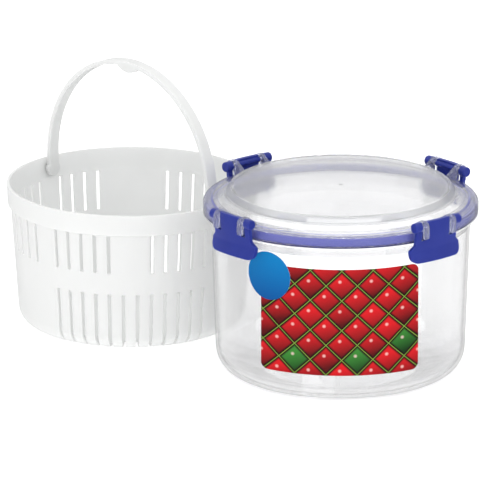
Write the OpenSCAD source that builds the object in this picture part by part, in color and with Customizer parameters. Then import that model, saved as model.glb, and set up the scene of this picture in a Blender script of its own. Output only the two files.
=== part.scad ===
// Round clip-lock food container with a lift-out strainer standing beside it.
// Millimetres, +Z up. The origin is the centre of the container's base, and the label faces -Y.

/* [Container] */
// Outside radius of the wall at its mouth
body_r = 77; // [65:0.5:95]
// Height of the mouth's edge above the base
body_h = 100; // [90:0.5:140]
// Radius that the wall loses from the mouth down to the base
body_taper = 3.6; // [1:0.1:5]
// Wall thickness
body_wall = 1.4; // [1.2:0.1:2.4]
// Floor thickness
body_floor = 2.2; // [1.5:0.1:4]
// Outside radius of the corner between the wall and the base
body_corner = 15; // [8:0.5:20]
// Reach of the rim flange past the wall
flange_reach = 4.4; // [3.6:0.1:6]
// Height of the flange's sloping underside
flange_depth = 5.8; // [5.2:0.1:7]
// Height of the flange's straight edge
flange_edge = 0.8; // [0.5:0.1:1.5]
// Height of the mouth's edge above the flange
mouth_lip = 2.4; // [1.8:0.1:4]

/* [Lid] */
// Wall thickness of the lid
lid_wall = 1.8; // [1.4:0.1:2.4]
// Overhang of the skirt past the flange
lid_overhang = 0.1; // [0:0.1:1]
// Radius of the raised flat top
dome_r = 65.5; // [50:0.5:66]
// Height of the flat top above the rim
dome_rise = 7.8; // [6:0.1:14]
// Height of the short step around the flat top
dome_step = 3.6; // [2:0.1:5]
// Turn of the lid on the container, as it was put on
lid_turn = -4.2; // [-20:0.1:20]

/* [Seal] */
// Thickness of the seal over the mouth's edge
seal_t = 3.2; // [2:0.1:4]
// Thickness of the seal's outer lip, under the skirt
seal_lip = 0.7; // [0.5:0.1:1.2]
// Gap between the seal and the container
seat_gap = 0.2; // [0.1:0.05:0.4]
// Radial gap between the seal and its channel
seal_clear = 0.25; // [0.1:0.05:0.4]

/* [Clips] */
// Radius of the clip's hinge bar
bar_r = 1.6; // [1.2:0.1:2]
// Running clearance of the hinge bar in its hooks
bar_clear = 0.06; // [0.02:0.01:0.1]
// Distance of the hinge bar outside the skirt
pivot_out = 3.1; // [2.8:0.1:5]
// Height of the hinge bar above the rim
pivot_up = 3.2; // [2.6:0.1:5]
// Radius of the round ends of the clip's hinge
ear_r = 3; // [2.6:0.1:3.4]
// Width of the clip across its round ends
clip_w = 35.5; // [32:0.5:40]
// Reach of the round ends past the sides of the clip's plate
ear_reach = 2.2; // [0:0.1:2.6]
// Width of the finger tab
tab_w = 37.6; // [34:0.2:42]
// Length of the finger tab below the catch
tab_len = 5.6; // [4:0.1:8]
// Thickness of the clip's plate
clip_t = 2.3; // [1.8:0.1:2.8]
// Bite of the catch under the flange
catch_bite = 1.8; // [1:0.1:2.2]
// Gap between the catch and the flange, straight up
catch_gap = 0.6; // [0.4:0.05:0.9]
// Width of the catch
catch_w = 26; // [16:0.5:30]
// Distance of each hook from the clip's middle
hook_offset = 10.5; // [9:0.1:11]
// Width of each hook
hook_w = 2.6; // [2:0.1:3]
// Wall of the hook around the bar
hook_wall = 1.6; // [1.4:0.1:2.2]
// Length of the hook's outer leg below the bar
hook_leg = 7.2; // [5:0.1:8]
// Gap between a hook and the sides of its slot
slot_gap = 0.45; // [0.3:0.05:0.8]

/* [Strainer] */
// Height of the strainer's rim below the clips' tabs, which hang over it
rim_gap = 0.6; // [0.4:0.1:12]
// Gap between the strainer's rim and the container's mouth when it stands inside
strainer_clear = 0.6; // [0.6:0.1:4]
// Wall thickness of the strainer
strainer_wall = 1.8; // [1.4:0.1:2.4]
// Height of the collar
collar_h = 13.2; // [12:0.1:18]
// Step of the collar out from the wall
collar_step = 2.4; // [2:0.1:3.4]
// Radius that the wall loses from the collar to the base
strainer_taper = 5.2; // [3:0.1:7]
// Outside radius of the strainer's bottom corner
strainer_corner = 10; // [6:0.5:16]
// Width of each slot
slit_w = 2.3; // [1.6:0.1:3]
// Length of the upper slots
slit_upper_len = 26; // [14:0.2:30]
// Height of the lower slots' top ends above the base
slit_lower_h = 35.5; // [25:0.5:40]
// Reach of the lower slots across the floor, in from the wall
slit_floor_len = 18; // [12:0.5:26]
// Direction of the strainer from the container, anticlockwise from +X
stand_angle = 141.2; // [141:0.1:180]
// Gap between the strainer's rim and the lid's rim, seen from above
stand_gap = 3.6; // [3:0.1:60]

/* [Handle] */
// Radius of the arch, to the middle of the strip
arch_r = 68.6; // [60:0.1:68.6]
// Straight height of each leg between its pivot and the arch
leg_h = 11; // [6:0.1:16]
// Width of the strip
strip_w = 7.2; // [5:0.1:8]
// Thickness of the strip
strip_t = 2.8; // [2:0.1:3.2]
// Radius of the round feet
foot_r = 4.4; // [4:0.1:5]
// Radius of the pivot pins
pin_r = 2.2; // [1.6:0.1:2.6]
// Running clearance of the pins in the collar
pin_clear = 0.06; // [0.02:0.01:0.1]
// Depth of the pivots below the rim
pin_drop = 6; // [5:0.1:7]
// Depth of the grip's bulge under the arch
grip_depth = 4.3; // [2:0.1:6]
// Direction of the hinge line, anticlockwise from +X
handle_turn = 134.4; // [120:0.1:150]

/* [Label and sticker] */
// Half of the angle that the label covers
label_half = 36.8; // [20:0.1:45]
// Height of the label's lower edge above the wall's rounded foot
label_rise = 3; // [1:0.2:10]
// Gap between the label's upper edge and the flange
label_gap = 7.4; // [2:0.2:20]
// Direction of the label's middle, anticlockwise from +X
label_turn = 269; // [260:0.1:280]
// Corner radius of the label
label_corner = 4; // [1:0.5:10]
// Diameter of the sticker
sticker_d = 29.5; // [16:0.5:34]
// Direction of the sticker, anticlockwise from +X
sticker_turn = 235.7; // [220:0.1:270]
// Gap between the sticker's top and the flange
sticker_gap = 0.1; // [0:0.1:20]
// Thickness of the label and sticker films
film_t = 0.15; // [0.1:0.05:0.3]
// Gap under each film for its adhesive
film_gap = 0.05; // [0.03:0.01:0.1]

/* [Hidden] */
$fn = 180;
// Overrun of a cutting shape past the face it cuts
cut = 1;
// Run of one shape into another that it is moulded in one with
bury = 1;
clear_plastic = [0.90, 0.93, 0.96, 0.35];
clip_blue = [0.25, 0.28, 0.66];
seal_blue = [0.20, 0.22, 0.55];
white_plastic = [0.92, 0.92, 0.91];

// Directions of the four clips, anticlockwise from +X
clip_first = 45 + lid_turn;
clip_step = 90;

// Rim flange
flange_r = body_r + flange_reach;
flange_top = body_h - mouth_lip;
flange_low = flange_top - flange_edge - flange_depth;
flange_slope = flange_depth / (flange_r - wall_r(flange_low));

// Lid heights and radii, its rounded rim, the flare of the dome's step and the rib inside the seal
lid_r = flange_r + lid_overhang;
skirt_low = flange_top + seat_gap + seal_lip;
ceiling_z = body_h + seat_gap + seal_t;
rim_z = ceiling_z + lid_wall;
top_z = rim_z + dome_rise;
rim_round = 2.2;
step_round = 1.4;
dome_flare = 2.1;
rib_t = 1.6;
rib_r = body_r - body_wall - 1.2;
rib_low = ceiling_z - seal_t + 0.4;

// Clip hinge, its hooks with a throat that the bar snaps through, and the catch
pivot_r = lid_r + pivot_out;
pivot_z = rim_z + pivot_up;
hook_bore = bar_r + bar_clear;
hook_eye = hook_bore + hook_wall;
hook_throat = 1.62 * bar_r;
hook_root = 0.3;
catch_t = 1.8;
catch_r = flange_r - catch_bite;
catch_top = flange_low + flange_slope * (catch_r - wall_r(flange_low)) - catch_gap;
catch_low = catch_top - catch_t;
tab_low = catch_low - tab_len;

// Strainer sizes and place
strainer_h = tab_low - rim_gap;
strainer_r = body_r - body_wall - strainer_clear;
basket_top_r = strainer_r - collar_step;
collar_low = strainer_h - collar_h;
collar_lean = 0.6;
collar_bevel = 0.7;
collar_in = basket_top_r - strainer_wall;
stand_r = lid_r + strainer_r + stand_gap;
strainer_place = [stand_r * cos(stand_angle), stand_r * sin(stand_angle), 0];

// Slot positions, counted both ways from the front, and the runs of them that are cut
slit_count = 52;
slit_pitch = 360 / slit_count;
upper_runs = [[1, 5], [7, 18], [20, 23]];
lower_runs = [[0, 5], [20, 25]];

// Label and sticker places
label_low = body_corner + label_rise;
label_h = flange_low - label_gap - label_low;
sticker_z = flange_low - sticker_gap - sticker_d / 2;

// Handle pivots, with pins that run between the legs and the collar, whichever is wider
pin_z = strainer_h - pin_drop;
pin_end = strainer_r - 0.5;
arch_z = pin_z + leg_h;

// Outside radius of the container's wall at a height
function wall_r(z) = body_r - body_taper * (1 - z / body_h);

// Outside radius of the strainer's wall at a height
function basket_r(z) = basket_top_r - strainer_taper * (1 - z / collar_low);

// Radius of the lid's outside shoulder line at a height's share, 0 at the rim and 1 at the dome's foot
function shoulder(share, inset) = [
    lid_r - rim_round - inset + share * (dome_r + dome_flare - lid_r + rim_round),
    rim_z - inset + share * (dome_rise - dome_step)];

// Points of an arc around a centre
function arc(centre, r, from, to, steps = 8) =
    [for (i = [0:steps]) let (a = from + (to - from) * i / steps) centre + r * [cos(a), sin(a)]];

module at_strainer() {
    translate(strainer_place)
        children();
}

// A radial outline given as radius and height, pulled to a thickness along the hinge line
module radial_slab(points, width, middle = 0) {
    translate([0, middle, 0])
        rotate([90, 0, 0])
            linear_extrude(width, center = true)
                polygon(points);
}

// A bar along the hinge line
module hinge_rod(r, from, to) {
    translate([pivot_r, from, pivot_z])
        rotate([-90, 0, 0])
            cylinder(r = r, h = to - from);
}

module container_body() {
    base_r = wall_r(body_corner);
    inner_corner = body_corner - body_wall;
    inner_z = body_floor + inner_corner;
    inner_r = wall_r(inner_z) - body_wall;
    edge = body_wall / 2;
    outside = concat(
        [[0, 0]],
        arc([base_r - body_corner, body_corner], body_corner, -90, 0),
        [[wall_r(flange_low), flange_low], [flange_r, flange_top - flange_edge], [flange_r, flange_top],
            [body_r, flange_top]],
        arc([body_r - edge, body_h - edge], edge, 0, 180));
    inside = concat(
        arc([inner_r - inner_corner, inner_z], inner_corner, 0, -90),
        [[0, body_floor]]);
    color(clear_plastic)
        rotate_extrude()
            polygon(concat(outside, inside));
}

// One hook: an arm from the lid's shoulder, an eye open at its foot and an outer leg
module lid_hook(side) {
    near = side * hook_offset - hook_w / 2;
    arm = [shoulder(hook_root, bury), [lid_r - bury, rim_z - rim_round], [lid_r, rim_z - rim_round],
        [pivot_r, pivot_z - hook_eye], [pivot_r, pivot_z + hook_eye], shoulder(hook_root, 0)];
    difference() {
        union() {
            radial_slab(arm, hook_w, side * hook_offset);
            hinge_rod(hook_eye, near, near + hook_w);
            translate([pivot_r + hook_bore, near, pivot_z - hook_leg])
                cube([hook_wall, hook_w, hook_leg]);
        }
        hinge_rod(hook_bore, near - cut, near + hook_w + cut);
        translate([pivot_r - hook_throat / 2, near - cut, pivot_z - hook_leg - cut])
            cube([hook_throat, hook_w + 2 * cut, hook_leg + cut]);
    }
}

module lid() {
    shoulder_run = lid_r - rim_round - dome_r - dome_flare;
    rib_share = (lid_r - rim_round - lid_wall - rib_r + rib_t) / shoulder_run;
    outside = concat(
        [[0, top_z]],
        arc([dome_r - step_round, top_z - step_round], step_round, 90, 30, 4),
        [shoulder(1, 0)],
        arc([lid_r - rim_round, rim_z - rim_round], rim_round, 90, 0, 6),
        [[lid_r, skirt_low]]);
    inside = [[lid_r - lid_wall, skirt_low], [lid_r - lid_wall, ceiling_z], [rib_r, ceiling_z],
        [rib_r, rib_low], [rib_r - rib_t, rib_low], shoulder(rib_share, lid_wall), shoulder(1, lid_wall),
        [dome_r - lid_wall, top_z - lid_wall], [0, top_z - lid_wall]];
    color(clear_plastic) {
        rotate_extrude()
            polygon(concat(outside, inside));
        for (i = [0:3])
            rotate(clip_first + i * clip_step)
                for (side = [-1, 1])
                    lid_hook(side);
    }
}

module seal_ring() {
    inner = rib_r + seal_clear;
    outer = lid_r - lid_wall - seal_clear;
    lip_r = lid_r - 0.1;
    leg = body_r + seal_clear;
    lip_low = flange_top + seat_gap;
    color(seal_blue)
        rotate_extrude()
            polygon([[inner, ceiling_z], [inner, ceiling_z - seal_t], [leg, ceiling_z - seal_t],
                [leg, lip_low], [lip_r, lip_low], [lip_r, skirt_low], [outer, skirt_low],
                [outer, ceiling_z]]);
}

// Front outline of a clip: a panel, a wider tab with round lower corners, and a slot for each hook
module clip_outline() {
    depth = 2 * pivot_r;
    round_low = 4.5;
    tab_top = catch_top + 0.8;
    panel_w = clip_w - 2 * ear_reach;
    slot_w = hook_w + 2 * slot_gap;
    slot_low = pivot_z - hook_leg - 1.4;
    difference() {
        union() {
            translate([0, -panel_w / 2, catch_low])
                cube([depth, panel_w, pivot_z + ear_r - catch_low]);
            translate([0, -tab_w / 2, tab_low + round_low])
                cube([depth, tab_w, tab_top - tab_low - round_low]);
            translate([0, round_low - tab_w / 2, tab_low])
                cube([depth, tab_w - 2 * round_low, round_low + cut]);
            for (side = [-1, 1])
                translate([0, side * (tab_w / 2 - round_low), tab_low + round_low])
                    rotate([0, 90, 0])
                        cylinder(r = round_low, h = depth, $fn = 48);
        }
        for (side = [-1, 1])
            translate([-cut, side * hook_offset - slot_w / 2, slot_low])
                cube([depth + 2 * cut, slot_w, pivot_z + ear_r + cut - slot_low]);
    }
}

// One clip at direction 0: a curved plate, its hinge bar with round ends and the catch under the flange
module clip() {
    span = 40;
    top = pivot_z + ear_r + cut;
    face = pivot_r + bar_r + 0.7;
    face_z = pivot_z - 4;
    waist = pivot_r + 0.6;
    waist_z = catch_low + 0.6;
    middle = (face + waist) / 2;
    middle_z = (face_z + waist_z) / 2;
    tip = pivot_r + 1.8;
    front = [[face, top], [face, face_z], [middle, middle_z], [waist, waist_z], [tip, tab_low - cut]];
    back = [for (i = [len(front) - 1:-1:0]) front[i] - [clip_t, 0]];
    nose = 0.8;
    catch_end = waist - clip_t / 2;
    slope_end = flange_r + 0.5;
    slope_top = catch_top + flange_slope * (slope_end - catch_r);
    catch = [[catch_r, catch_low], [catch_r + nose, catch_low - nose], [catch_end, catch_low - nose],
        [catch_end, slope_top], [slope_end, slope_top], [catch_r, catch_top]];
    ear_from = hook_offset + hook_w / 2 + slot_gap;
    color(clip_blue) {
        intersection() {
            rotate(-span / 2)
                rotate_extrude(angle = span)
                    polygon(concat(front, back));
            clip_outline();
        }
        intersection() {
            rotate(-span / 2)
                rotate_extrude(angle = span)
                    polygon(catch);
            translate([0, -catch_w / 2, tab_low])
                cube([2 * pivot_r, catch_w, pivot_z - tab_low]);
        }
        hinge_rod(bar_r, -clip_w / 2, clip_w / 2);
        hinge_rod(ear_r, -clip_w / 2, -ear_from);
        hinge_rod(ear_r, ear_from, clip_w / 2);
    }
}

module clip_back_right() {
    rotate(clip_first)
        clip();
}

module clip_back_left() {
    rotate(clip_first + clip_step)
        clip();
}

module clip_front_left() {
    rotate(clip_first + 2 * clip_step)
        clip();
}

module clip_front_right() {
    rotate(clip_first + 3 * clip_step)
        clip();
}

// Direction of a slot around the strainer
function slit_angle(i) = 270 + slit_pitch * (i + 0.5);

// Whether a slot position is in one of the runs, on either side of the front
function in_runs(i, runs) = let (n = min(i, slit_count - 1 - i))
    len([for (run = runs) if (n >= run[0] && n <= run[1]) n]) > 0;

module strainer_basket() {
    base_r = basket_r(strainer_corner);
    inner_corner = strainer_corner - strainer_wall;
    inner_z = strainer_wall + inner_corner;
    inner_r = basket_r(inner_z) - strainer_wall;
    lip = strainer_wall / 2;
    outside = concat(
        [[0, 0]],
        arc([base_r - strainer_corner, strainer_corner], strainer_corner, -90, 0),
        [[basket_top_r, collar_low], [strainer_r - collar_lean, collar_low + collar_bevel]],
        arc([strainer_r - lip, strainer_h - lip], lip, 0, 180, 6));
    inside = concat(
        [[collar_in, collar_low]],
        arc([inner_r - inner_corner, inner_z], inner_corner, 0, -90),
        [[0, strainer_wall]]);
    slit_top = collar_low + 1.8;
    slit_end = basket_top_r + 0.7;
    slit_from = basket_top_r - slit_upper_len;
    floor_from = base_r - slit_floor_len;
    color(white_plastic)
        at_strainer()
            difference() {
                rotate_extrude()
                    polygon(concat(outside, inside));
                for (i = [0:slit_count - 1])
                    rotate(slit_angle(i)) {
                        if (in_runs(i, upper_runs))
                            translate([slit_from, -slit_w / 2, slit_top - slit_upper_len])
                                cube([slit_end - slit_from, slit_w, slit_upper_len]);
                        if (in_runs(i, lower_runs))
                            translate([floor_from, -slit_w / 2, -cut])
                                cube([strainer_r - floor_from, slit_w, slit_lower_h + cut]);
                    }
                rotate(handle_turn)
                    for (side = [-1, 1])
                        translate([side * (collar_in - cut), 0, pin_z])
                            rotate([0, side * 90, 0])
                                cylinder(r = pin_r + pin_clear, h = strainer_r - collar_in + 2 * cut);
            }
}

module strainer_handle() {
    color(white_plastic)
        at_strainer()
            rotate(handle_turn) {
                translate([0, 0, arch_z])
                    rotate([90, 0, 0])
                        rotate_extrude(angle = 180)
                            translate([arch_r - strip_t / 2, -strip_w / 2])
                                square([strip_t, strip_w]);
                for (side = [-1, 1]) {
                    translate([side * arch_r - strip_t / 2, -strip_w / 2, pin_z])
                        cube([strip_t, strip_w, leg_h]);
                    translate([side * arch_r - strip_t / 2, 0, pin_z])
                        rotate([0, 90, 0])
                            cylinder(r = foot_r, h = strip_t);
                    translate([side * min(arch_r, pin_end), 0, pin_z])
                        rotate([0, side * 90, 0])
                            cylinder(r = pin_r, h = abs(pin_end - arch_r));
                }
                grip();
            }
}

// Bulge under the top of the arch, where fingers lift
module grip() {
    grip_r = 8;
    translate([0, 0, arch_z])
        rotate([90, 0, 0])
            intersection() {
                cylinder(r = arch_r, h = strip_w, center = true);
                translate([0, arch_r - strip_t / 2 - grip_depth + grip_r, 0])
                    cylinder(r = grip_r, h = strip_w, center = true);
            }
}

// A film that follows the container's wall, a given gap outside it
module wall_film(gap) {
    half = 80;
    low = body_corner;
    high = flange_low;
    rotate(270 - half)
        rotate_extrude(angle = 2 * half)
            polygon([[wall_r(low) + gap, low], [wall_r(low) + gap + film_t, low],
                [wall_r(high) + gap + film_t, high], [wall_r(high) + gap, high]]);
}

module front_label() {
    half_w = body_r * sin(label_half);
    depth = 2 * body_r;
    color([0.75, 0.12, 0.12])
        intersection() {
            wall_film(film_gap);
            rotate(label_turn - 270) {
                translate([label_corner - half_w, -depth, label_low])
                    cube([2 * (half_w - label_corner), depth, label_h]);
                translate([-half_w, -depth, label_low + label_corner])
                    cube([2 * half_w, depth, label_h - 2 * label_corner]);
                for (x = [-1, 1])
                    for (z = [label_low + label_corner, label_low + label_h - label_corner])
                        translate([x * (half_w - label_corner), 0, z])
                            rotate([90, 0, 0])
                                cylinder(r = label_corner, h = depth, $fn = 48);
            }
        }
}

module round_sticker() {
    color([0.05, 0.45, 0.75])
        intersection() {
            wall_film(2 * film_gap + film_t);
            translate([0, 0, sticker_z])
                rotate([0, 90, sticker_turn])
                    cylinder(d = sticker_d, h = 2 * body_r, $fn = 96);
        }
}

container_body();
lid();
seal_ring();
clip_front_left();
clip_front_right();
clip_back_left();
clip_back_right();
strainer_basket();
strainer_handle();
front_label();
round_sticker();
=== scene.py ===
import math

import bmesh
import bpy
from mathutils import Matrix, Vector


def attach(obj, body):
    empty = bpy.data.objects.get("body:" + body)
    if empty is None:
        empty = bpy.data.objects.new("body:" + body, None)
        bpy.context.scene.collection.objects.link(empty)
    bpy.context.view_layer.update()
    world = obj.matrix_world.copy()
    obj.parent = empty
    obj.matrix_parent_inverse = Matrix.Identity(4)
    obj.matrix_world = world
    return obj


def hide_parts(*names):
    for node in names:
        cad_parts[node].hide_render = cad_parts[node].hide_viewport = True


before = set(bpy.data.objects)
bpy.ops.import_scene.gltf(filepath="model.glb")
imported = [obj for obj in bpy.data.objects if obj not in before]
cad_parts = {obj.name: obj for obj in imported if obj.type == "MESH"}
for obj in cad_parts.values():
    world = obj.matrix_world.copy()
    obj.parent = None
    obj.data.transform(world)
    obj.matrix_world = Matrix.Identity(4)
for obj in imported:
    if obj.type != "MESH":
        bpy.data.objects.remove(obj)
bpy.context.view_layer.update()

# Sizes are in millimetres, as on the bench, and MM turns them to the frame's metres.
MM = 0.001
# Points around a turned piece, and the distance in metres under which two points are merged.
SIDES = 176
MERGE = 1e-6

# Sizes and places that the pieces share with the solids.
BODY_R = 77.0
BODY_H = 100.0
MOUTH_R = BODY_R - 1.4
TUB_FLOOR = 2.2
TUB_FOOT_R = 73.4
TUB_TAPER = 0.036
FLANGE_R = 81.4
FLANGE_TOP = 97.6
FLANGE_EDGE = FLANGE_TOP - 0.8
FLANGE_LOW = 91.0
LID_R = 81.5
LID_WALL = 1.8
SKIRT_LOW = 98.5
CEILING_Z = 103.4
RIM_Z = 105.2
TOP_Z = 113.0
RUNNING_GAP = 0.06
SEAT_GAP = 0.2
SEAL_GAP = 0.25
FILM_GAP = 0.05
FILM_T = 0.15
HINGE_R = 84.6
HINGE_Z = 108.4
CLIP_TURNS = {
    "clip_back_right": 40.8,
    "clip_back_left": 130.8,
    "clip_front_left": 220.8,
    "clip_front_right": 310.8,
}
BASKET_X = -124.772
BASKET_Y = 100.319
PIN_Z = 80.0
PIN_R = 2.2
HANDLE_TURN = 134.4

# Camera: a long lens from the front, a little above the rims.
CAMERA_DISTANCE = 6.0
CAMERA_RISE = math.radians(16.654)
CAMERA_LENS = 760.7
aim = Vector((-0.0595, 0, 0.0790))
away = Vector((0, -math.cos(CAMERA_RISE), math.sin(CAMERA_RISE)))
camera_data = bpy.data.cameras.new("camera")
camera_data.sensor_width = 36
camera_data.lens = CAMERA_LENS
camera_data.clip_end = 60
camera = bpy.data.objects.new("camera", camera_data)
camera.location = aim + away * CAMERA_DISTANCE
camera.rotation_euler = (math.pi / 2 - CAMERA_RISE, 0, 0)
bpy.context.scene.collection.objects.link(camera)
bpy.context.scene.camera = camera


# Bench: the handful of moves that every piece is made with.
def deselect():
    """Leaves edit mode with nothing selected, so that the next move acts on its own piece alone."""
    if bpy.context.object and bpy.context.object.mode != "OBJECT":
        bpy.ops.object.mode_set(mode="OBJECT")
    bpy.ops.object.select_all(action="DESELECT")


def hold(piece):
    """Makes a piece the only one selected."""
    deselect()
    piece.select_set(True)
    bpy.context.view_layer.objects.active = piece


def named(name):
    """Names the primitive or copy that was just added."""
    piece = bpy.context.object
    piece.name = name
    piece.data.name = name
    return piece


def pick(piece, kind, test):
    """Selects what passes the test among the open piece's vertices, edges or faces."""
    bpy.ops.mesh.select_mode(type=kind)
    bpy.ops.mesh.select_all(action="DESELECT")
    mesh = bmesh.from_edit_mesh(piece.data)
    for item in {"VERT": mesh.verts, "EDGE": mesh.edges, "FACE": mesh.faces}[kind]:
        if test(item):
            item.select_set(True)
    mesh.select_flush_mode()
    bmesh.update_edit_mesh(piece.data)


def tidy(piece):
    """Closes doubled points and turns all faces outwards."""
    hold(piece)
    bpy.ops.object.mode_set(mode="EDIT")
    bpy.ops.mesh.select_all(action="SELECT")
    bpy.ops.mesh.remove_doubles(threshold=MERGE)
    bpy.ops.mesh.normals_make_consistent(inside=False)
    bpy.ops.object.mode_set(mode="OBJECT")


def modify(piece, kind, **settings):
    """Adds a modifier and applies it."""
    hold(piece)
    modifier = piece.modifiers.new(kind.lower(), kind)
    for key, value in settings.items():
        setattr(modifier, key, value)
    bpy.ops.object.modifier_apply(modifier=modifier.name)


def combine(piece, other, how):
    """Cuts, joins or trims a piece with another, which is used up."""
    modify(piece, "BOOLEAN", operation=how, solver="EXACT", object=other)
    bpy.data.objects.remove(other)


def soften(piece, width, segments=2, degrees=35):
    """Rounds the edges sharper than an angle, as a moulded piece has them."""
    modify(piece, "BEVEL", width=width * MM, segments=segments, limit_method="ANGLE",
           angle_limit=math.radians(degrees), use_clamp_overlap=True)


def smooth(piece, degrees=35):
    """Shades the piece smooth, apart from its sharp edges, and keeps its large flat faces flat."""
    hold(piece)
    bpy.ops.object.shade_smooth_by_angle(angle=math.radians(degrees))
    modify(piece, "WEIGHTED_NORMAL", keep_sharp=True, weight=100)


def settle(piece, turn=0.0, x=0.0, y=0.0):
    """Turns and moves a piece to its place, and puts the place into its mesh."""
    hold(piece)
    piece.rotation_euler = (0, 0, math.radians(turn))
    piece.location = (x * MM, y * MM, 0)
    bpy.ops.object.transform_apply(location=True, rotation=True, scale=True)


def copied(piece, name):
    """A copy of a piece, with a mesh of its own."""
    hold(piece)
    bpy.ops.object.duplicate()
    return named(name)


def block(name, low, high):
    """A box between two corners."""
    deselect()
    low, high = Vector(low) * MM, Vector(high) * MM
    bpy.ops.mesh.primitive_cube_add(size=1, location=(low + high) / 2)
    piece = named(name)
    piece.scale = high - low
    bpy.ops.object.transform_apply(location=True, rotation=False, scale=True)
    return piece


def rod(name, middle, radius, length, axis, sides=48):
    """A round bar along X, Y or Z."""
    deselect()
    turned_to = {"X": (0, math.pi / 2, 0), "Y": (math.pi / 2, 0, 0), "Z": (0, 0, 0)}[axis]
    bpy.ops.mesh.primitive_cylinder_add(vertices=sides, radius=radius * MM, depth=length * MM,
                                        location=Vector(middle) * MM, rotation=turned_to)
    piece = named(name)
    bpy.ops.object.transform_apply(location=True, rotation=True, scale=True)
    return piece


def rounded(corners, steps=8):
    """A line through corners given as (across, up, rounding), where a rounding becomes an arc."""
    line = []
    for i, (across, up, rounding) in enumerate(corners):
        here = Vector((across, up))
        if not rounding:
            line.append(here)
            continue
        before = (Vector(corners[i - 1][:2]) - here).normalized()
        after = (Vector(corners[(i + 1) % len(corners)][:2]) - here).normalized()
        half = before.angle(after) / 2
        middle = here + (before + after).normalized() * (rounding / math.sin(half))
        first = here + before * (rounding / math.tan(half)) - middle
        last = here + after * (rounding / math.tan(half)) - middle
        begin = math.atan2(first.y, first.x)
        sweep = (math.atan2(last.y, last.x) - begin + math.pi) % (2 * math.pi) - math.pi
        for k in range(steps + 1):
            angle = begin + sweep * k / steps
            line.append(middle + Vector((math.cos(angle), math.sin(angle))) * rounding)
    return line


def turned(name, line, closed=False, sides=SIDES):
    """A piece turned about Z: a ring of points is pulled and scaled along a line, point by point."""
    deselect()
    ends = "NOTHING" if closed else "NGON"
    bpy.ops.mesh.primitive_circle_add(vertices=sides, radius=line[0].x * MM, fill_type=ends,
                                      location=(0, 0, line[0].y * MM))
    piece = named(name)
    bpy.ops.object.transform_apply(location=True, rotation=True, scale=True)
    bpy.ops.object.mode_set(mode="EDIT")
    pick(piece, "EDGE", lambda edge: True)
    for last, point in zip(line, line[1:] + line[:1] if closed else line[1:]):
        rise = (0, 0, (point.y - last.y) * MM)
        bpy.ops.mesh.extrude_edges_move(TRANSFORM_OT_translate={"value": rise})
        share = point.x / last.x
        bpy.ops.transform.resize(value=(share, share, 1), center_override=(0, 0, point.y * MM))
    if not closed:
        bpy.ops.mesh.edge_face_add()
    tidy(piece)
    return piece


def outline(name, line, thickness):
    """A flat shape in the XZ plane, drawn point by point, filled, and pulled to a thickness along Y."""
    deselect()
    start = (line[0].x * MM, -thickness / 2 * MM, line[0].y * MM)
    bpy.ops.mesh.primitive_plane_add(size=MM, location=start)
    piece = named(name)
    bpy.ops.object.transform_apply(location=True, rotation=True, scale=True)
    bpy.ops.object.mode_set(mode="EDIT")
    bpy.ops.mesh.select_mode(type="VERT")
    bpy.ops.mesh.select_all(action="SELECT")
    bpy.ops.mesh.merge(type="CENTER")
    for last, point in zip(line, line[1:]):
        step = (point - last) * MM
        bpy.ops.mesh.extrude_vertices_move(TRANSFORM_OT_translate={"value": (step.x, 0, step.y)})
    bpy.ops.mesh.select_all(action="SELECT")
    bpy.ops.mesh.edge_face_add()
    if thickness:
        bpy.ops.mesh.extrude_region_move(TRANSFORM_OT_translate={"value": (0, thickness * MM, 0)})
        tidy(piece)
    bpy.ops.object.mode_set(mode="OBJECT")
    return piece


def swept(name, line, turn, steps):
    """A flat outline swept round Z by an angle to both sides of the XZ plane, with its ends closed."""
    piece = outline(name, line, 0)
    hold(piece)
    piece.rotation_euler = (0, 0, -math.radians(turn))
    bpy.ops.object.transform_apply(location=False, rotation=True, scale=False)
    bpy.ops.object.mode_set(mode="EDIT")
    bpy.ops.mesh.select_all(action="SELECT")
    bpy.ops.mesh.spin(steps=steps, angle=-math.radians(2 * turn), center=(0, 0, 0), axis=(0, 0, 1))
    bpy.ops.mesh.select_all(action="SELECT")
    bpy.ops.mesh.remove_doubles(threshold=MERGE)
    bpy.ops.mesh.fill_holes(sides=0)
    tidy(piece)
    return piece


# Materials. Colours are sRGB hex values, turned to the shaders' linear ones here.
def colour(code):
    """An sRGB hex colour as linear red, green, blue and alpha."""
    parts = [int(code[i:i + 2], 16) / 255 for i in (0, 2, 4)]
    return [p / 12.92 if p <= 0.04045 else ((p + 0.055) / 1.055) ** 2.4 for p in parts] + [1]


def add(material, kind, inputs=(), **settings):
    """Adds a shader node with its settings. An input is a value, or the socket that feeds it."""
    node = material.node_tree.nodes.new(kind)
    for key, value in settings.items():
        setattr(node, key, value)
    for key, value in dict(inputs).items():
        if isinstance(value, bpy.types.NodeSocket):
            material.node_tree.links.new(value, node.inputs[key])
        else:
            node.inputs[key].default_value = value
    return node


def new_material(name):
    """An empty node material and the Object coordinates that its patterns lie on."""
    material = bpy.data.materials.new(name)
    material.use_nodes = True
    material.node_tree.nodes.clear()
    return material, add(material, "ShaderNodeTexCoord").outputs["Object"]


def shade(material, inputs):
    """Closes a material with one Principled shader."""
    shader = add(material, "ShaderNodeBsdfPrincipled", inputs)
    add(material, "ShaderNodeOutputMaterial", {"Surface": shader.outputs["BSDF"]})
    return material


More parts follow.
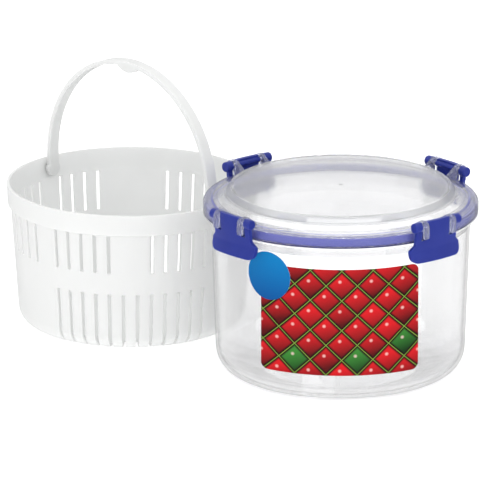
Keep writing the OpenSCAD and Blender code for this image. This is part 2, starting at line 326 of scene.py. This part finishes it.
def clear_polypropylene(name, clearness, edge_grey, edge_from, alpha, roughness=0.02, matt_ring_with_painted_shade=None):
    """Clear injection-moulded polypropylene: glossy and see-through with a little milkiness, greyer where
    it is looked at along the wall, and a slow unevenness, about 30 mm long, where the melt flowed.
    A ring between two radii can be matt, as from a grained mould, and its grey there is painted shade for
    the light that the step bends away."""
    material, place = new_material(name)
    flow = add(material, "ShaderNodeTexNoise", {"Vector": place, "Scale": 1 / (30 * MM), "Detail": 1.0})
    bump = add(material, "ShaderNodeBump", {
        "Height": flow.outputs["Fac"], "Strength": 0.06, "Distance": 0.4 * MM})
    glancing = add(material, "ShaderNodeLayerWeight", {"Blend": 0.5})
    along = add(material, "ShaderNodeMapRange", {
        "Value": glancing.outputs["Facing"], "From Min": edge_from, "From Max": 0.92})
    tint = add(material, "ShaderNodeMix", {
        "Factor": along.outputs["Result"], "A": colour("FDFDFE"), "B": colour(edge_grey)},
        data_type="RGBA")
    if matt_ring_with_painted_shade:
        inner, outer = matt_ring_with_painted_shade
        across = add(material, "ShaderNodeVectorMath", {0: place, 1: (1, 1, 0)}, operation="MULTIPLY")
        reach = add(material, "ShaderNodeVectorMath", {0: across.outputs["Vector"]}, operation="LENGTH")
        matt_and_painted_shade_ring = add(material, "ShaderNodeMath", {
            0: reach.outputs["Value"], 1: (inner + outer) / 2 * MM, 2: (outer - inner) / 2 * MM},
            operation="COMPARE")
        # Painted shade: the ring at the lid's step is grey, standing in for the light its refraction turns
        # away.
        tint = add(material, "ShaderNodeMix", {
            "Factor": matt_and_painted_shade_ring.outputs["Value"], "A": tint.outputs["Result"], "B": colour("9EA0A4")},
            data_type="RGBA")
        rough = add(material, "ShaderNodeMapRange", {
            "Value": matt_and_painted_shade_ring.outputs["Value"], "To Min": roughness, "To Max": 0.35})
        roughness = rough.outputs["Result"]
    return shade(material, {
        "Base Color": tint.outputs["Result"], "Roughness": roughness, "IOR": 1.49,
        "Transmission Weight": clearness, "Alpha": alpha, "Normal": bump.outputs["Normal"]})


def blue_polypropylene():
    """Blue injection-moulded polypropylene: satin, with a fine spark-eroded grain of about 0.5 mm
    and slightly uneven pigment over about 12 mm."""
    material, place = new_material("blue_moulded_polypropylene")
    pigment = add(material, "ShaderNodeTexNoise", {
        "Vector": place, "Scale": 1 / (12 * MM), "Detail": 2.0})
    tint = add(material, "ShaderNodeMix", {
        "Factor": pigment.outputs["Fac"], "A": colour("22308C"), "B": colour("2B3A9A")},
        data_type="RGBA")
    grain = add(material, "ShaderNodeTexNoise", {
        "Vector": place, "Scale": 1 / (0.5 * MM), "Detail": 2.0})
    rough = add(material, "ShaderNodeMapRange", {
        "Value": grain.outputs["Fac"], "To Min": 0.3, "To Max": 0.42})
    bump = add(material, "ShaderNodeBump", {
        "Height": grain.outputs["Fac"], "Strength": 0.12, "Distance": 0.05 * MM})
    return shade(material, {
        "Base Color": tint.outputs["Result"], "Roughness": rough.outputs["Result"], "IOR": 1.49,
        "Specular IOR Level": 0.35, "Subsurface Weight": 0.5, "Subsurface Radius": (1, 1, 1),
        "Subsurface Scale": 3 * MM, "Normal": bump.outputs["Normal"]})


def seal_rubber():
    """Soft blue thermoplastic rubber: matt, with a faint grain of about 0.8 mm. Below the lid's skirt, on
    the thin lip that stands out bare, a darker blue is painted as the shade of the gap over the flange."""
    material, place = new_material("blue_seal_rubber")
    grain = add(material, "ShaderNodeTexNoise", {
        "Vector": place, "Scale": 1 / (0.8 * MM), "Detail": 2.0})
    tint = add(material, "ShaderNodeMix", {
        "Factor": grain.outputs["Fac"], "A": colour("6268C8"), "B": colour("6C72D0")}, data_type="RGBA")
    height = add(material, "ShaderNodeSeparateXYZ", {"Vector": place})
    # Painted shade: the rubber is darker below the skirt's lower edge, where the lip lies in the gap's
    # shadow.
    lip_painted_shade = add(material, "ShaderNodeMapRange", {
        "Value": height.outputs["Z"], "From Min": SKIRT_LOW * MM, "From Max": (SKIRT_LOW + 0.3) * MM,
        "To Min": 1.0, "To Max": 0.0})
    tone = add(material, "ShaderNodeMix", {
        "Factor": lip_painted_shade.outputs["Result"], "A": tint.outputs["Result"], "B": colour("1A1E62")},
        data_type="RGBA")
    bump = add(material, "ShaderNodeBump", {
        "Height": grain.outputs["Fac"], "Strength": 0.1, "Distance": 0.05 * MM})
    return shade(material, {
        "Base Color": tone.outputs["Result"], "Roughness": 0.55, "IOR": 1.5, "Subsurface Weight": 0.5,
        "Subsurface Radius": (1, 1, 1), "Subsurface Scale": 3 * MM, "Normal": bump.outputs["Normal"]})


def white_polypropylene():
    """White injection-moulded polypropylene: satin, a little light passes into it, with a fine grain
    of about 0.6 mm and slow flow marks about 25 mm long."""
    material, place = new_material("white_moulded_polypropylene")
    flow = add(material, "ShaderNodeTexNoise", {"Vector": place, "Scale": 1 / (25 * MM), "Detail": 2.0})
    tint = add(material, "ShaderNodeMix", {
        "Factor": flow.outputs["Fac"], "A": colour("E3E4E3"), "B": colour("EAEBEA")}, data_type="RGBA")
    grain = add(material, "ShaderNodeTexNoise", {
        "Vector": place, "Scale": 1 / (0.6 * MM), "Detail": 2.0})
    rough = add(material, "ShaderNodeMapRange", {
        "Value": grain.outputs["Fac"], "To Min": 0.3, "To Max": 0.4})
    bump = add(material, "ShaderNodeBump", {
        "Height": grain.outputs["Fac"], "Strength": 0.08, "Distance": 0.04 * MM})
    return shade(material, {
        "Base Color": tint.outputs["Result"], "Roughness": rough.outputs["Result"], "IOR": 1.49,
        "Subsurface Weight": 0.7, "Subsurface Radius": (1, 1, 1), "Subsurface Scale": 6 * MM,
        "Normal": bump.outputs["Normal"]})


def on_print(material, parts, gap):
    """1 on a film's printed outside and 0 on its white back. The gap in mm is from the tub's tapering
    wall to the middle of the film."""
    across = add(material, "ShaderNodeCombineXYZ", {"X": parts.outputs["X"], "Y": parts.outputs["Y"]})
    reach = add(material, "ShaderNodeVectorMath", {0: across.outputs["Vector"]}, operation="LENGTH")
    wall = add(material, "ShaderNodeMath", {
        0: parts.outputs["Z"], 1: TUB_TAPER, 2: (TUB_FOOT_R + gap) * MM}, operation="MULTIPLY_ADD")
    return add(material, "ShaderNodeMath", {
        0: reach.outputs["Value"], 1: wall.outputs["Value"]}, operation="GREATER_THAN").outputs["Value"]


# Side of a diamond on the label, and the heights between which the sticker pales.
DIAMOND = 13
STICKER_LOW = 61
STICKER_HIGH = 91


def printed_label():
    """Gloss-laminated printed film: a lattice of cushioned diamonds of 13 mm in uneven reds, a few of them
    green, each with a pale glint, on near black with fine green lines, and a white back."""
    material, place = new_material("printed_label_film")
    parts = add(material, "ShaderNodeSeparateXYZ", {"Vector": place})
    flat = add(material, "ShaderNodeCombineXYZ", {"X": parts.outputs["X"], "Y": parts.outputs["Z"]})
    lattice = add(material, "ShaderNodeMapping", {
        "Vector": flat.outputs["Vector"], "Rotation": (0, 0, math.radians(45)),
        "Scale": (1 / (DIAMOND * MM),) * 3})
    cells = add(material, "ShaderNodeTexVoronoi", {
        "Vector": lattice.outputs["Vector"], "Scale": 1.0, "Randomness": 0.0},
        voronoi_dimensions="2D", distance="CHEBYCHEV")
    chance = add(material, "ShaderNodeSeparateColor", {"Color": cells.outputs["Color"]})
    green = add(material, "ShaderNodeMath", {
        0: chance.outputs["Red"], 1: 0.84}, operation="GREATER_THAN")
    bright = add(material, "ShaderNodeMix", {
        "Factor": green.outputs["Value"], "A": colour("D8121C"), "B": colour("3C8A34")},
        data_type="RGBA")
    dark = add(material, "ShaderNodeMix", {
        "Factor": green.outputs["Value"], "A": colour("5A060A"), "B": colour("123C16")},
        data_type="RGBA")
    within = add(material, "ShaderNodeVectorMath", {
        0: lattice.outputs["Vector"], 1: cells.outputs["Position"]}, operation="SUBTRACT")
    slope = add(material, "ShaderNodeVectorMath", {
        0: within.outputs["Vector"], 1: (-0.8, 0.45, 0)}, operation="DOT_PRODUCT")
    uneven = add(material, "ShaderNodeMath", {
        0: chance.outputs["Green"], 1: 0.45, 2: slope.outputs["Value"]}, operation="MULTIPLY_ADD")
    light = add(material, "ShaderNodeMapRange", {
        "Value": uneven.outputs["Value"], "From Min": -0.3, "From Max": 0.6})
    cushion = add(material, "ShaderNodeMix", {
        "Factor": light.outputs["Result"], "A": dark.outputs["Result"], "B": bright.outputs["Result"]},
        data_type="RGBA")
    off_glint = add(material, "ShaderNodeVectorMath", {
        0: within.outputs["Vector"], 1: (-0.2, 0.08, 0)}, operation="DISTANCE")
    glint = add(material, "ShaderNodeMapRange", {
        "Value": off_glint.outputs["Value"], "From Min": 0.03, "From Max": 0.1,
        "To Min": 0.65, "To Max": 0.0})
    lit = add(material, "ShaderNodeMix", {
        "Factor": glint.outputs["Result"], "A": cushion.outputs["Result"], "B": colour("FFD9D2")},
        data_type="RGBA")
    edge = add(material, "ShaderNodeMapRange", {
        "Value": cells.outputs["Distance"], "From Min": 0.36, "From Max": 0.45})
    ground = add(material, "ShaderNodeMix", {
        "Factor": edge.outputs["Result"], "A": lit.outputs["Result"], "B": colour("1C0406")},
        data_type="RGBA")
    line = add(material, "ShaderNodeMath", {
        0: cells.outputs["Distance"], 1: 0.482}, operation="GREATER_THAN")
    print_tone = add(material, "ShaderNodeMix", {
        "Factor": line.outputs["Value"], "A": ground.outputs["Result"], "B": colour("7FA03C")},
        data_type="RGBA")
    printed = on_print(material, parts, FILM_GAP + FILM_T / 2)
    tone = add(material, "ShaderNodeMix", {
        "Factor": printed, "A": colour("F4F4F2"), "B": print_tone.outputs["Result"]}, data_type="RGBA")
    return shade(material, {
        "Base Color": tone.outputs["Result"], "Roughness": 0.3, "IOR": 1.5, "Specular IOR Level": 0.2})


def sticker_film():
    """Gloss-printed sticker: a blue that pales towards its top, with a white back."""
    material, place = new_material("blue_sticker_film")
    parts = add(material, "ShaderNodeSeparateXYZ", {"Vector": place})
    height = add(material, "ShaderNodeMapRange", {
        "Value": parts.outputs["Z"], "From Min": STICKER_LOW * MM, "From Max": STICKER_HIGH * MM})
    print_tone = add(material, "ShaderNodeMix", {
        "Factor": height.outputs["Result"], "A": colour("00529A"), "B": colour("0082C4")},
        data_type="RGBA")
    printed = on_print(material, parts, 2 * FILM_GAP + 1.5 * FILM_T)
    tone = add(material, "ShaderNodeMix", {
        "Factor": printed, "A": colour("F4F4F2"), "B": print_tone.outputs["Result"]}, data_type="RGBA")
    return shade(material, {
        "Base Color": tone.outputs["Result"], "Roughness": 0.3, "IOR": 1.5, "Specular IOR Level": 0.15})


# The lid's matt ring, given by its two radii, is the step around its raised top; its grey is painted
# shade.
# The hooks' blue tint, strongest where they are seen along the wall, is a painted reflection of the blue
# clips around them.
CLEAR = clear_polypropylene(
    "clear_polypropylene", clearness=0.98, edge_grey="1E2024", edge_from=0.71, alpha=0.45)
LID_CLEAR = clear_polypropylene(
    "clear_lid_polypropylene", clearness=0.97, edge_grey="868890", edge_from=0.53, alpha=0.64,
    matt_ring_with_painted_shade=(65.3, 68.3))
# Painted reflection: the hooks' edge tint is the clips' blue.
HAZY = clear_polypropylene(
    "thick_clear_polypropylene", clearness=0.8, edge_grey="8C9AE6", edge_from=0.0, alpha=0.7,
    roughness=0.15)
BLUE = blue_polypropylene()
SEAL = seal_rubber()
WHITE = white_polypropylene()
LABEL = printed_label()
STICKER = sticker_film()


def dress(piece, material, body, slot, *stands_for):
    """Gives a finished piece its material and body, and hides the solids that it stands for; the slot is
    not used.
    """
    piece.data.materials.clear()
    piece.data.materials.append(material)
    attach(piece, body)
    if stands_for:
        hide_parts(*stands_for)


# Tub: a tapering wall, a sloping rim flange and a rounded mouth. One round face closes the floor's middle.
FLOOR_MIDDLE_R = 40
FLANGE_ROOT_R = 76.68
TUB_FOOT_IN = 72.08
tub = turned("tub", rounded([
    (FLOOR_MIDDLE_R, 0, 0), (TUB_FOOT_R, 0, 15), (FLANGE_ROOT_R, FLANGE_LOW, 1.2),
    (FLANGE_R, FLANGE_EDGE, 0.3), (FLANGE_R, FLANGE_TOP, 0.25), (BODY_R, FLANGE_TOP, 0.3),
    (BODY_R, BODY_H, 0.65), (MOUTH_R, BODY_H, 0.65), (TUB_FOOT_IN, TUB_FLOOR, 13.6),
    (FLOOR_MIDDLE_R, TUB_FLOOR, 0)]))
smooth(tub)
dress(tub, CLEAR, "container", "clear_plastic", "container_body")

# Lid: a raised flat top with the mark of its mould's gate, a step, a sloping shoulder, a skirt, and a rib
# inside the seal.
GATE_R = 2
GATE_DEPTH = 0.4
DOME_R = 65.5
STEP_R = DOME_R + 2.1
STEP_Z = TOP_Z - 3.6
SHOULDER_Z = 104.41
SHOULDER_IN_Z = 105.09
SKIRT_IN = LID_R - LID_WALL
RIB_R = 74.4
RIB_IN = RIB_R - 1.6
RIB_LOW = 100.6
lid = turned("lid_shell", rounded([
    (GATE_R - 0.8, TOP_Z - GATE_DEPTH, 0), (GATE_R, TOP_Z, 0), (DOME_R, TOP_Z, 1.5), (STEP_R, STEP_Z, 1.2),
    (LID_R, SHOULDER_Z, 2.2), (LID_R, SKIRT_LOW, 0.35), (SKIRT_IN, SKIRT_LOW, 0.35),
    (SKIRT_IN, CEILING_Z, 0.4), (RIB_R, CEILING_Z, 0.3), (RIB_R, RIB_LOW, 0.3), (RIB_IN, RIB_LOW, 0.3),
    (RIB_IN, SHOULDER_IN_Z, 0.5), (STEP_R - LID_WALL, STEP_Z - LID_WALL, 0.8),
    (DOME_R - LID_WALL, TOP_Z - LID_WALL, 1.2), (GATE_R, TOP_Z - LID_WALL, 0)]))
smooth(lid)
dress(lid, LID_CLEAR, "lid", "clear_plastic", "lid")

# Seal: a soft ring in the lid's channel, sloping outside, with a thin lip that shows under the skirt.
SEAL_IN = RIB_R + SEAL_GAP
SEAL_OUT = SKIRT_IN - SEAL_GAP
SEAL_TOP_OUT = 76.4
SEAL_LIP_R = 81.2
SEAL_SEAT_Z = BODY_H + SEAT_GAP
SEAL_LIP_Z = FLANGE_TOP + SEAT_GAP
seal = turned("seal", rounded([
    (SEAL_IN, CEILING_Z, 0.3), (SEAL_IN, SEAL_SEAT_Z, 0.3), (BODY_R + SEAL_GAP, SEAL_SEAT_Z, 0.2),
    (BODY_R + SEAL_GAP, SEAL_LIP_Z, 0.2), (SEAL_LIP_R, SEAL_LIP_Z, 0.3), (SEAL_LIP_R, SKIRT_LOW, 0.3),
    (SEAL_OUT, SKIRT_LOW, 0.1), (SEAL_OUT, SKIRT_LOW + 0.4, 0.2), (SEAL_TOP_OUT, CEILING_Z, 0.6)],
    steps=4), closed=True)
smooth(seal)
dress(seal, SEAL, "lid", "seal_rubber", "seal_ring")

# Hook: an arm from the lid's shoulder, an eye open at its foot and an outer leg, made once and copied.
BAR_R = 1.6
HOOK_BORE = BAR_R + RUNNING_GAP
HOOK_EYE = HOOK_BORE + 1.6
HOOK_W = 2.6
HOOK_OFFSET = 10.5
HOOK_LEG = 7.2
THROAT_HALF = 1.3
HOOK_TOP = HINGE_Z + HOOK_EYE
HOOK_FOOT = HINGE_Z - HOOK_LEG
HOOK_FRONT = HINGE_R + 4.5
hook = outline("lid_hook", rounded([
    (75.8, 106.6, 0), (82.4, HOOK_TOP, 3), (HOOK_FRONT, HOOK_TOP, 3.2), (HOOK_FRONT, HOOK_FOOT, 1.2),
    (HINGE_R + HOOK_BORE, HOOK_FOOT, 0.8), (HINGE_R + HOOK_BORE, 105.4, 0), (82.2, RIM_Z, 0),
    (81.4, 103, 0), (80.6, 103, 0), (75.3, 105.6, 0)], steps=6), HOOK_W)
combine(hook, rod("bore", (HINGE_R, 0, HINGE_Z), HOOK_BORE, 2 * HOOK_W, "Y"), "DIFFERENCE")
combine(hook, block("throat", (HINGE_R - THROAT_HALF, -HOOK_W, HOOK_FOOT - 1),
                    (HINGE_R + THROAT_HALF, HOOK_W, HINGE_Z)), "DIFFERENCE")
soften(hook, 0.25)
for clip_name, turn in CLIP_TURNS.items():
    for side in ("left", "right"):
        copy = copied(hook, clip_name.replace("clip", "hook") + "_" + side)
        copy.location.y = (HOOK_OFFSET if side == "right" else -HOOK_OFFSET) * MM
        bpy.ops.object.transform_apply(location=True, rotation=False, scale=False)
        settle(copy, turn)
        smooth(copy)
        dress(copy, HAZY, "lid", "clear_plastic")
bpy.data.objects.remove(hook)

# Clip: a curved plate that flares to a finger tab, a slot for each hook, a hinge bar with round ends, and
# a catch. The ears stand just over the plate and just off the slots, because faces that coincide join
# unevenly.
EAR_R = 3
EAR_FROM = 12.35
EAR_TO = 17.75
SLOT_HALF = 1.75
PLATE_R = 86.9
PLATE_T = 2.3
PLATE_HALF = 15.55
TAB_HALF = 18.8
TAB_LOW = 86.6
NECK_R = 85.2
NECK_Z = 93.6
CATCH_R = 79.6
CATCH_BACK = 84.05
CATCH_LOW = 91.4
PLATE_TOP = HINGE_Z + EAR_R - 0.06
clip_front = rounded([
    (PLATE_R, PLATE_TOP + 1, 0), (PLATE_R, 104.4, 40), (NECK_R, NECK_Z, 8), (PLATE_R, TAB_LOW - 1, 0)],
    steps=6)
clip = swept("clip", clip_front + [point - Vector((PLATE_T, 0)) for point in clip_front[::-1]], 14, 28)
half_face = [
    (PLATE_HALF, PLATE_TOP, 0.8), (PLATE_HALF, 97, 2), (TAB_HALF, 94.2, 1.4), (TAB_HALF, TAB_LOW, 4.5)]
face = outline("clip_face", rounded(half_face + [(-y, z, r) for y, z, r in half_face[::-1]]), 30)
settle(face, 90, 85)
combine(clip, face, "INTERSECT")
for side in (-1, 1):
    combine(clip, block("slot", (70, side * HOOK_OFFSET - SLOT_HALF, HOOK_FOOT - 1.4),
                        (100, side * HOOK_OFFSET + SLOT_HALF, HINGE_Z + 5)), "DIFFERENCE")
soften(clip, 0.5, 3)
catch = swept("catch", [Vector(p) for p in (
    (CATCH_R, 92.2), (CATCH_R + 0.8, CATCH_LOW), (CATCH_BACK, CATCH_LOW), (CATCH_BACK, FLANGE_EDGE),
    (FLANGE_R + 0.5, FLANGE_EDGE), (CATCH_R, 94))], 9.2, 18)
soften(catch, 0.25)
combine(clip, catch, "UNION")
for side in (-1, 1):
    ear = rod("ear", (HINGE_R, side * (EAR_FROM + EAR_TO) / 2, HINGE_Z), EAR_R, EAR_TO - EAR_FROM, "Y")
    soften(ear, 0.9, 4)
    combine(clip, ear, "UNION")
combine(clip, rod("bar", (HINGE_R, 0, HINGE_Z), BAR_R, 2 * EAR_TO - 5, "Y"), "UNION")
for clip_name, turn in CLIP_TURNS.items():
    copy = copied(clip, "locking_" + clip_name)
    settle(copy, turn)
    smooth(copy)
    dress(copy, BLUE, clip_name, "clip_plastic", clip_name)
bpy.data.objects.remove(clip)

# Basket: the outside is turned, its slots are opened between the points, and the wall gets its thickness.
BASKET_R = 75
BASKET_H = 85.9
BASKET_FOOT_R = 67.4
COLLAR_LOW = 72.8
WALL = 1.8
SLOT_COUNT = 52
BASKET_SIDES = 4 * SLOT_COUNT
UPPER_RUNS = [(1, 5), (7, 18), (20, 23)]
LOWER_RUNS = [(0, 5), (20, 25)]
UPPER_LOW, UPPER_HIGH = 48.6, 72.5
LOWER_HIGH = 35.5
FLOOR_FROM = 50.1
COLLAR_BEND_R = (71.7, 73.1)
COLLAR_BEND_Z = (74.4, 77)
COLLAR_DRAWN_IN = 0.982


def in_collar_bend(vert):
    """Whether a point of the basket lies on the inside of the bend under its collar."""
    across, up = vert.co.xy.length / MM, vert.co.z / MM
    return COLLAR_BEND_R[0] < across < COLLAR_BEND_R[1] and COLLAR_BEND_Z[0] < up < COLLAR_BEND_Z[1]


def in_slot(face):
    """Whether a face of the basket's wall lies where a slot is."""
    middle = face.calc_center_median()
    if len(face.verts) > 4:
        return False
    place = ((math.degrees(math.atan2(middle.y, middle.x)) - 270) % 360) * SLOT_COUNT / 360 - 0.5
    count = round(place)
    if abs(place - count) > 0.2:
        return False
    count = min(count % SLOT_COUNT, SLOT_COUNT - 1 - count % SLOT_COUNT)
    up, across = middle.z / MM, middle.xy.length / MM
    upper = UPPER_LOW < up < UPPER_HIGH and any(a <= count <= b for a, b in UPPER_RUNS)
    lower = up < LOWER_HIGH and across > FLOOR_FROM and any(a <= count <= b for a, b in LOWER_RUNS)
    return upper or lower


basket_line = rounded([
    (30, 0, 0), (FLOOR_FROM, 0, 0), (BASKET_FOOT_R, 0, 10), (69.94, LOWER_HIGH, 0), (70.87, UPPER_LOW, 0),
    (72.58, UPPER_HIGH, 0), (72.6, COLLAR_LOW, 0), (74.4, COLLAR_LOW + 0.7, 0), (BASKET_R, BASKET_H, 0)])
basket = turned("basket", basket_line, sides=BASKET_SIDES)
hold(basket)
bpy.ops.object.mode_set(mode="EDIT")
pick(basket, "FACE", lambda face: face.normal.z > 0.9 and face.calc_center_median().z > 80 * MM)
bpy.ops.mesh.delete(type="FACE")
# A half step of turn puts a face, and not an edge, at the middle of each slot.
bpy.ops.mesh.select_all(action="SELECT")
bpy.ops.transform.rotate(value=math.pi / BASKET_SIDES, orient_axis="Z", center_override=(0, 0, 0))
pick(basket, "FACE", in_slot)
bpy.ops.mesh.delete(type="FACE")
bpy.ops.object.mode_set(mode="OBJECT")
modify(basket, "SOLIDIFY", thickness=WALL * MM, offset=-1, use_even_offset=True, use_rim=True)
# The collar's inside is drawn in over the step, to one smooth slope.
hold(basket)
bpy.ops.object.mode_set(mode="EDIT")
pick(basket, "VERT", in_collar_bend)
bpy.ops.transform.resize(value=(COLLAR_DRAWN_IN, COLLAR_DRAWN_IN, 1), center_override=(0, 0, 0))
bpy.ops.object.mode_set(mode="OBJECT")
soften(basket, 0.3, 2, 50)
for side in (-1, 1):
    hole = rod("pin_hole", (side * 73, 0, PIN_Z), PIN_R + RUNNING_GAP, 12, "X")
    settle(hole, HANDLE_TURN)
    combine(basket, hole, "DIFFERENCE")
settle(basket, 0, BASKET_X, BASKET_Y)
smooth(basket)
dress(basket, WHITE, "strainer", "white_plastic", "strainer_basket")

# Handle: a flat strip spun into an arch, its legs pulled down to round feet with pins, and a lobe to
# lift by.
ARCH_R = 68.6
ARCH_Z = PIN_Z + 11
STRIP_W = 7.2
STRIP_T = 2.8
LOBE_R = 12.5
LOBE_DEPTH = 4.0
FOOT_R = 4.4
PIN_END = 74.5
LOBE_Z = ARCH_Z + ARCH_R - STRIP_T / 2 - LOBE_DEPTH + LOBE_R


def leg_end(face):
    """Whether a face closes an end of the arch."""
    return face.calc_center_median().z < (ARCH_Z + 0.01) * MM and abs(face.normal.z) > 0.9


deselect()
bpy.ops.mesh.primitive_plane_add(size=1, location=(ARCH_R * MM, 0, ARCH_Z * MM))
handle = named("handle")
handle.scale = (STRIP_T * MM, STRIP_W * MM, 1)
bpy.ops.object.transform_apply(location=True, rotation=True, scale=True)
bpy.ops.object.mode_set(mode="EDIT")
bpy.ops.mesh.select_all(action="SELECT")
bpy.ops.mesh.spin(steps=64, angle=math.pi, center=(0, 0, ARCH_Z * MM), axis=(0, 1, 0))
bpy.ops.mesh.select_all(action="SELECT")
bpy.ops.mesh.remove_doubles(threshold=MERGE)
bpy.ops.mesh.fill_holes(sides=0)
bpy.ops.mesh.select_all(action="SELECT")
bpy.ops.mesh.normals_make_consistent(inside=False)
pick(handle, "FACE", leg_end)
bpy.ops.mesh.extrude_region_move(TRANSFORM_OT_translate={"value": (0, 0, (PIN_Z - ARCH_Z) * MM)})
tidy(handle)
lobe = rod("lobe", (0, 0, LOBE_Z), LOBE_R, STRIP_W - 0.4, "Y", 96)
crown = rod("crown", (0, 0, ARCH_Z), ARCH_R, STRIP_W, "Y", 128)
combine(lobe, crown, "INTERSECT")
combine(handle, lobe, "UNION")
for side in (-1, 1):
    combine(handle, rod("foot", (side * ARCH_R, 0, PIN_Z), FOOT_R, STRIP_T + 0.3, "X"), "UNION")
    pin = rod("pin", (side * (ARCH_R + PIN_END) / 2, 0, PIN_Z), PIN_R, PIN_END - ARCH_R, "X")
    combine(handle, pin, "UNION")
soften(handle, 0.5, 3)
settle(handle, HANDLE_TURN, BASKET_X, BASKET_Y)
smooth(handle)
dress(handle, WHITE, "handle", "white_plastic", "strainer_handle")

# Label and sticker: the solids are the right shape, and get their prints.
for node_name, material in (("front_label", LABEL), ("round_sticker", STICKER)):
    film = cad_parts[node_name]
    film.data.materials.clear()
    film.data.materials.append(material)

# Bench top and studio light.
PAPER_GLOW = 0.43
deselect()
bpy.ops.mesh.primitive_plane_add(size=12, location=(0, 0, 0))
floor = named("floor")
floor_paper = new_material("white_paper")[0]
shade(floor_paper, {
    "Base Color": colour("FAFAFA"), "Roughness": 0.9, "Emission Color": colour("FFFFFF"),
    "Emission Strength": PAPER_GLOW})
floor.data.materials.append(floor_paper)
# The paper lights the pieces but isn't mirrored in them: they mirror a grey room, which draws
# their edges.
floor.visible_glossy = False

world = bpy.data.worlds.new("studio")
world.use_nodes = True
# A bright tent that darkens to the sides, behind and below, and so draws the edges of the clear and
# white plastic.
looked_at = add(world, "ShaderNodeTexCoord").outputs["Generated"]
heading = add(world, "ShaderNodeSeparateXYZ", {"Vector": looked_at})
off_middle = add(world, "ShaderNodeMath", {0: heading.outputs["X"]}, operation="ABSOLUTE")
glow = add(world, "ShaderNodeMapRange", {
    "Value": off_middle.outputs["Value"], "From Min": 0.45, "From Max": 0.95,
    "To Min": 1.1, "To Max": 0.58})
behind = add(world, "ShaderNodeMapRange", {
    "Value": heading.outputs["Y"], "From Min": 0.55, "From Max": 0.95,
    "To Min": 1.0, "To Max": 0.72})
below = add(world, "ShaderNodeMapRange", {
    "Value": heading.outputs["Z"], "From Min": -0.1, "From Max": 0.0,
    "To Min": 0.62, "To Max": 1.0})
front = add(world, "ShaderNodeMath", {
    0: glow.outputs["Result"], 1: behind.outputs["Result"]}, operation="MULTIPLY")
level = add(world, "ShaderNodeMath", {
    0: front.outputs["Value"], 1: below.outputs["Result"]}, operation="MULTIPLY")
tent = world.node_tree.nodes["Background"]
tent.inputs["Color"].default_value = colour("FFFFFF")
world.node_tree.links.new(level.outputs["Value"], tent.inputs["Strength"])
bpy.context.scene.world = world


def lamp(name, place, toward, size, power):
    """A soft square light."""
    light = bpy.data.lights.new(name, "AREA")
    light.size = size
    light.energy = power
    fixture = bpy.data.objects.new(name, light)
    fixture.location = place
    fixture.rotation_euler = (Vector(toward) - Vector(place)).to_track_quat("-Z", "Y").to_euler()
    bpy.context.scene.collection.objects.link(fixture)


lamp("top_light", place=(-0.3, -0.4, 3.4), toward=(-0.06, 0.1, 0), size=2.6, power=5)
lamp("front_light", place=(0.9, -2.2, 1.5), toward=(-0.06, 0, 0.05), size=1.0, power=2)
bpy.context.scene.view_settings.view_transform = "Standard"
